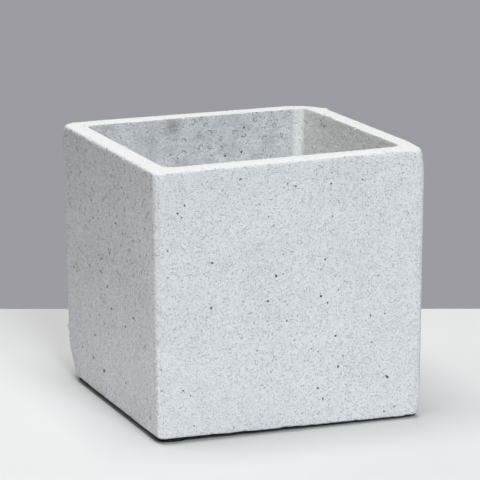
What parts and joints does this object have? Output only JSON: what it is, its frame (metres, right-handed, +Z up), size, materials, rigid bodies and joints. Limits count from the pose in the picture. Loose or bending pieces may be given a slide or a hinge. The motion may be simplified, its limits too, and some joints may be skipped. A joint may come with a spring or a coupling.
{
  "type": "planter box",
  "caption": "Square cast-concrete planter box with rounded corners, an open planting cavity, a drain hole with a lift-out rubber stopper, and stick-on pads.",
  "frame": {"origin": "centre of the plan, on the surface that the pads rest on", "axes": "+Z up; the front is -Y and the left side is -X"},
  "size_m": [0.2, 0.2, 0.1915],
  "materials": {
    "concrete": "pale fine-grained cast concrete with small air voids, rubbed smooth on the rim",
    "stopper_rubber": "moulded dark grey rubber, satin",
    "pad_rubber": "matt black stick-on rubber"
  },
  "bodies": {
    "planter": {"planter_body": "concrete", "foot_front_left": "pad_rubber", "foot_front_right": "pad_rubber", "foot_rear_left": "pad_rubber", "foot_rear_right": "pad_rubber"},
    "stopper": {"drain_plug": "stopper_rubber"}
  },
  "joints": [
    {"name": "stopper_lift", "type": "slide", "parent": "planter", "child": "stopper", "axis": [0, 0, 1], "range_m": [0, 0.2]}
  ]
}
